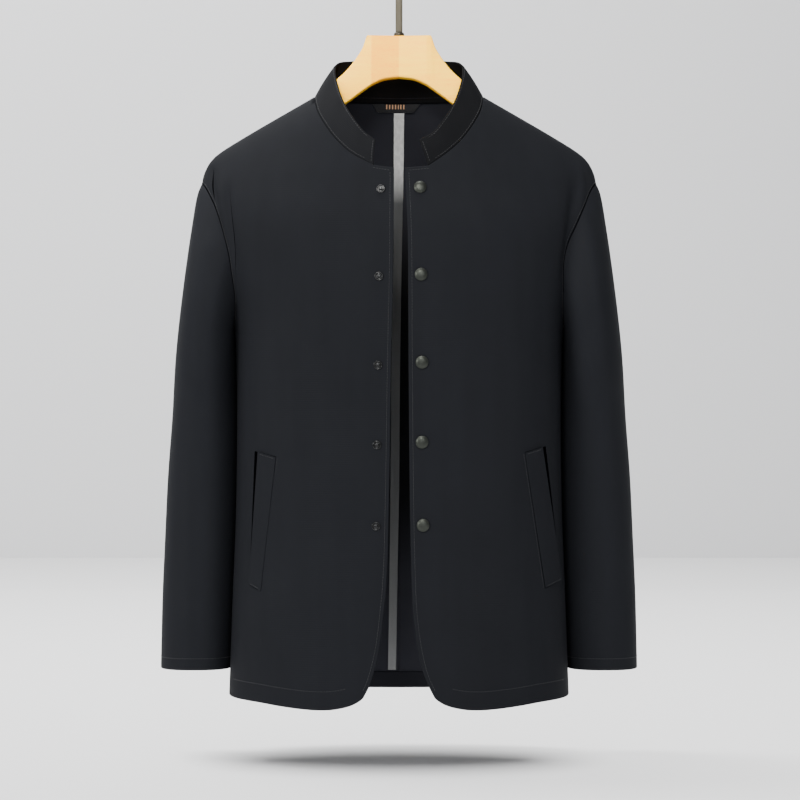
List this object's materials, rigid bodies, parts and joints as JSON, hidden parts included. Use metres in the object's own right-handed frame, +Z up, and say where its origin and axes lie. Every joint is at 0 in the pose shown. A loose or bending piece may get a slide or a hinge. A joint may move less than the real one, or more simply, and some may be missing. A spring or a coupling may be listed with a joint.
{
  "type": "mandarin jacket",
  "caption": "Open-front stand-collar jacket with snap fastening, slanted welt pockets and set-in sleeves, hung on a wooden hanger with a flat metal hook.",
  "frame": {"origin": "inside top of the hook, where a rail holds it", "axes": "+Z up, the front of the jacket faces -Y, +X is the wearer's left"},
  "size_m": [0.5744, 0.2326, 0.8941],
  "materials": {
    "charcoal_cloth": "fine matt weave, near-black charcoal",
    "satin_tape": "grey satin tape",
    "label_cloth": "woven black label",
    "gunmetal": "dark gunmetal, satin",
    "stud_metal": "plain metal",
    "beech": "pale, matt varnish",
    "hook_steel": "brushed, warm grey"
  },
  "bodies": {
    "root": {"front_left": "charcoal_cloth", "front_right": "charcoal_cloth", "back_left": "charcoal_cloth", "back_right": "charcoal_cloth", "collar": "charcoal_cloth", "sleeve_upper_left": "charcoal_cloth", "sleeve_upper_right": "charcoal_cloth", "sleeve_under_left": "charcoal_cloth", "sleeve_under_right": "charcoal_cloth", "pocket_welt_left": "charcoal_cloth", "pocket_welt_right": "charcoal_cloth", "back_hem_turn_up": "charcoal_cloth", "centre_back_tape": "satin_tape", "size_label": "label_cloth", "snap_cap_1": "gunmetal", "snap_stud_1": "stud_metal", "snap_cap_2": "gunmetal", "snap_stud_2": "stud_metal", "snap_cap_3": "gunmetal", "snap_stud_3": "stud_metal", "snap_cap_4": "gunmetal", "snap_stud_4": "stud_metal", "snap_cap_5": "gunmetal", "snap_stud_5": "stud_metal", "hanger_wood": "beech", "hanger_hook": "hook_steel", "hook_ferrule": "hook_steel"}
  },
  "joints": []
}
